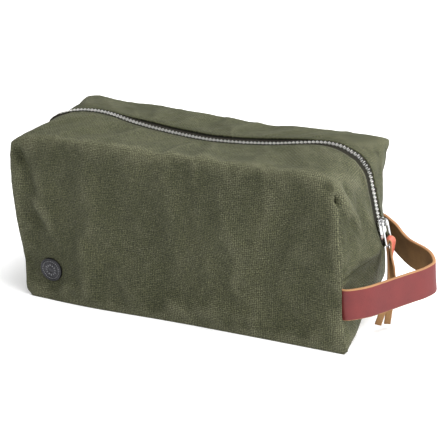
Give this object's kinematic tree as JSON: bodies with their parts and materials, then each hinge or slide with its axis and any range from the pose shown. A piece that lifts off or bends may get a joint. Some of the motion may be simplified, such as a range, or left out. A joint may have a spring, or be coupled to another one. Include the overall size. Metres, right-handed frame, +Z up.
{
  "type": "zip-top waxed canvas toiletry bag",
  "caption": "Boxy waxed-canvas wash bag with a metal zip over its top and ends, a leather side handle, a leather zip pull and a round metal badge.",
  "frame": {"origin": "centre of the flat base that the bag stands on", "axes": "+X along the bag towards the handle end, -Y the front with the badge, +Z up"},
  "size_m": [0.3193, 0.1146, 0.128],
  "materials": {
    "waxed_canvas": "waxed cotton canvas, satin with rub marks",
    "lining_cloth": "plain cotton lining, matt",
    "zip_tape": "woven cotton tape, charcoal, matt",
    "zip_nickel": "nickel, bright and slightly worn",
    "slider_nickel": "nickel, polished",
    "pull_leather": "vegetable-tanned lace, red grain and raw tan edges",
    "strap_leather": "burgundy grain side, raw tan edges, brown flesh side",
    "badge_metal": "dark gunmetal, embossed, semi-gloss"
  },
  "bodies": {
    "tub": {"front_canvas_lower": "waxed_canvas", "back_canvas_lower": "waxed_canvas", "front_lining_lower": "lining_cloth", "back_lining_lower": "lining_cloth", "zip_bottom_stop": "zip_nickel", "handle_end_near": "strap_leather", "handle_end_far": "strap_leather", "badge_cap": "badge_metal", "badge_post": "badge_metal", "badge_washer": "badge_metal"},
    "front_mouth": {"front_canvas_upper": "waxed_canvas", "front_lining_upper": "lining_cloth", "zip_tape_front": "zip_tape", "zip_teeth_front": "zip_nickel", "zip_top_stop_front": "zip_nickel"},
    "back_mouth": {"back_canvas_upper": "waxed_canvas", "back_lining_upper": "lining_cloth", "zip_tape_back": "zip_tape", "zip_teeth_back": "zip_nickel", "zip_top_stop_back": "zip_nickel"},
    "slider": {"slider_body": "slider_nickel", "slider_crown": "slider_nickel", "slider_lock_spring": "slider_nickel"},
    "ring": {"pull_ring": "slider_nickel"},
    "pull": {"leather_pull": "pull_leather"},
    "handle": {"handle_strap": "strap_leather"}
  },
  "joints": [
    {"name": "front_mouth_open", "type": "hinge", "parent": "tub", "child": "front_mouth", "pos_m": [0, -0.0535, 0.052], "axis": [1, 0, 0], "range_deg": [0, 25], "deforming": ["zip_teeth_front", "zip_teeth_back", "zip_top_stop_front", "zip_top_stop_back", "zip_tape_front", "zip_tape_back"]},
    {"name": "back_mouth_open", "type": "hinge", "parent": "tub", "child": "back_mouth", "pos_m": [0, 0.0535, 0.052], "axis": [-1, 0, 0], "range_deg": [0, 25], "deforming": ["zip_teeth_front", "zip_teeth_back", "zip_top_stop_front", "zip_top_stop_back", "zip_tape_front", "zip_tape_back"]},
    {"name": "slider_run", "type": "slide", "parent": "tub", "child": "slider", "axis": [0.171, 0, -0.9853], "range_m": [-0.024, 0], "deforming": ["zip_teeth_front", "zip_teeth_back", "zip_top_stop_front", "zip_top_stop_back", "zip_tape_front", "zip_tape_back"]},
    {"name": "ring_swing", "type": "hinge", "parent": "slider", "child": "ring", "pos_m": [0.14273, 0, 0.07794], "axis": [0, -1, 0], "range_deg": [0, 12]},
    {"name": "pull_swing", "type": "hinge", "parent": "ring", "child": "pull", "pos_m": [0.14572, 0, 0.0607], "axis": [0, -1, 0], "range_deg": [0, 9]},
    {"name": "handle_flex", "type": "hinge", "parent": "tub", "child": "handle", "pos_m": [0.1515, 0, 0.0365], "axis": [0, -1, 0], "range_deg": [-30, 35], "stiffness_Nm_per_rad": 0.15}
  ]
}
